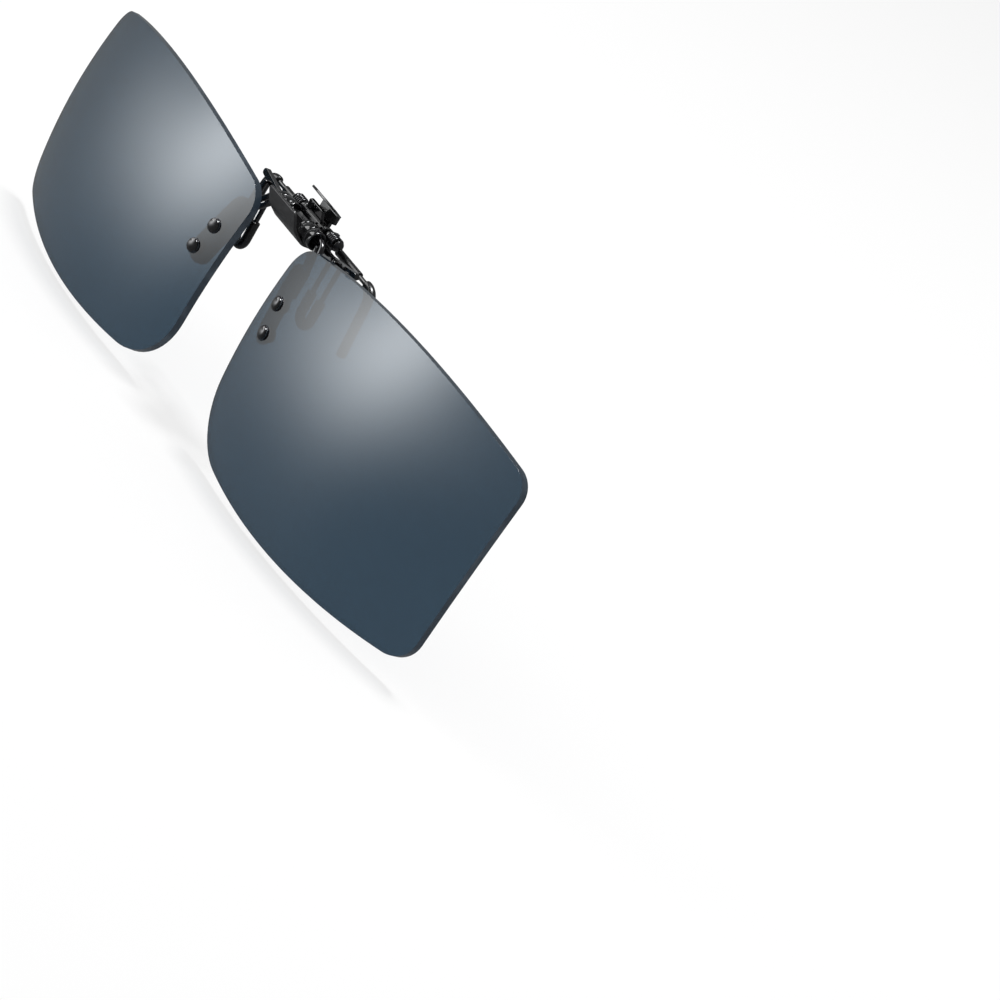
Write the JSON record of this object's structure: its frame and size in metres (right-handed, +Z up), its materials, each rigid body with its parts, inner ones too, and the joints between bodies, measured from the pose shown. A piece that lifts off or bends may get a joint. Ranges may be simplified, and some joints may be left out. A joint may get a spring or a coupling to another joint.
{
  "type": "clip-on flip-up lenses",
  "caption": "Pair of curved rimless tinted lenses riveted to a flip hinge, on a spring clip whose sleeved prongs grip a pair of spectacles.",
  "frame": {"origin": "middle of the gap between the front and the rear prongs, on the plane between the two lenses", "axes": "+X towards the viewer's right along the flip axis, -Y out of the lenses' front faces, +Z up"},
  "size_m": [0.1328, 0.0118, 0.0383],
  "materials": {
    "tinted_lens": "polished tinted polarised plastic with a faint mirrored face",
    "bracket_metal": "dark plated sheet",
    "rivet_metal": "polished dark gunmetal",
    "clear_bush": "clear moulded plastic",
    "neck_metal": "black chrome wire",
    "barrel_metal": "satin black plating",
    "nylon": "black nylon",
    "axle_steel": "turned steel",
    "spring_steel": "black spring steel",
    "cover_metal": "matte charcoal coating",
    "front_jaw_metal": "glossy black plating",
    "rear_jaw_metal": "glossy black plating",
    "prong_wire": "glossy black plating",
    "vinyl_sleeve": "soft black vinyl"
  },
  "bodies": {
    "clip": {"front_jaw": "front_jaw_metal", "front_cover": "cover_metal", "detent_leaf": "spring_steel", "jaw_pin": "axle_steel", "jaw_pin_cap": "axle_steel", "right_hinge_knuckle": "barrel_metal", "left_hinge_knuckle": "barrel_metal", "right_jaw_spring": "spring_steel", "left_jaw_spring": "spring_steel", "right_front_prong": "prong_wire", "left_front_prong": "prong_wire", "right_front_tip_sleeve": "vinyl_sleeve", "left_front_tip_sleeve": "vinyl_sleeve"},
    "lens_set": {"right_lens": "tinted_lens", "left_lens": "tinted_lens", "right_lens_bracket": "bracket_metal", "left_lens_bracket": "bracket_metal", "right_lens_rivets": "rivet_metal", "left_lens_rivets": "rivet_metal", "right_rivet_bushes": "clear_bush", "left_rivet_bushes": "clear_bush", "right_rivet_caps": "rivet_metal", "left_rivet_caps": "rivet_metal", "right_neck_wires": "neck_metal", "left_neck_wires": "neck_metal", "right_neck_ferrule": "barrel_metal", "left_neck_ferrule": "barrel_metal", "right_friction_washer": "nylon", "left_friction_washer": "nylon", "flip_axle": "axle_steel"},
    "rear_clamp": {"rear_jaw": "rear_jaw_metal", "right_rear_prong": "prong_wire", "left_rear_prong": "prong_wire", "right_rear_rod_sleeve": "vinyl_sleeve", "left_rear_rod_sleeve": "vinyl_sleeve", "right_rear_tip_sleeve": "vinyl_sleeve", "left_rear_tip_sleeve": "vinyl_sleeve"}
  },
  "joints": [
    {"name": "flip_hinge", "type": "hinge", "parent": "clip", "child": "lens_set", "pos_m": [0, -0.0032, 0.00635], "axis": [-1, 0, 0], "range_deg": [0, 90]},
    {"name": "clamp_pivot", "type": "hinge", "parent": "clip", "child": "rear_clamp", "pos_m": [0, -0.0003, 0.0071], "axis": [1, 0, 0], "range_deg": [0, 14], "stiffness_Nm_per_rad": 0.02, "springref_deg": -20.05}
  ]
}
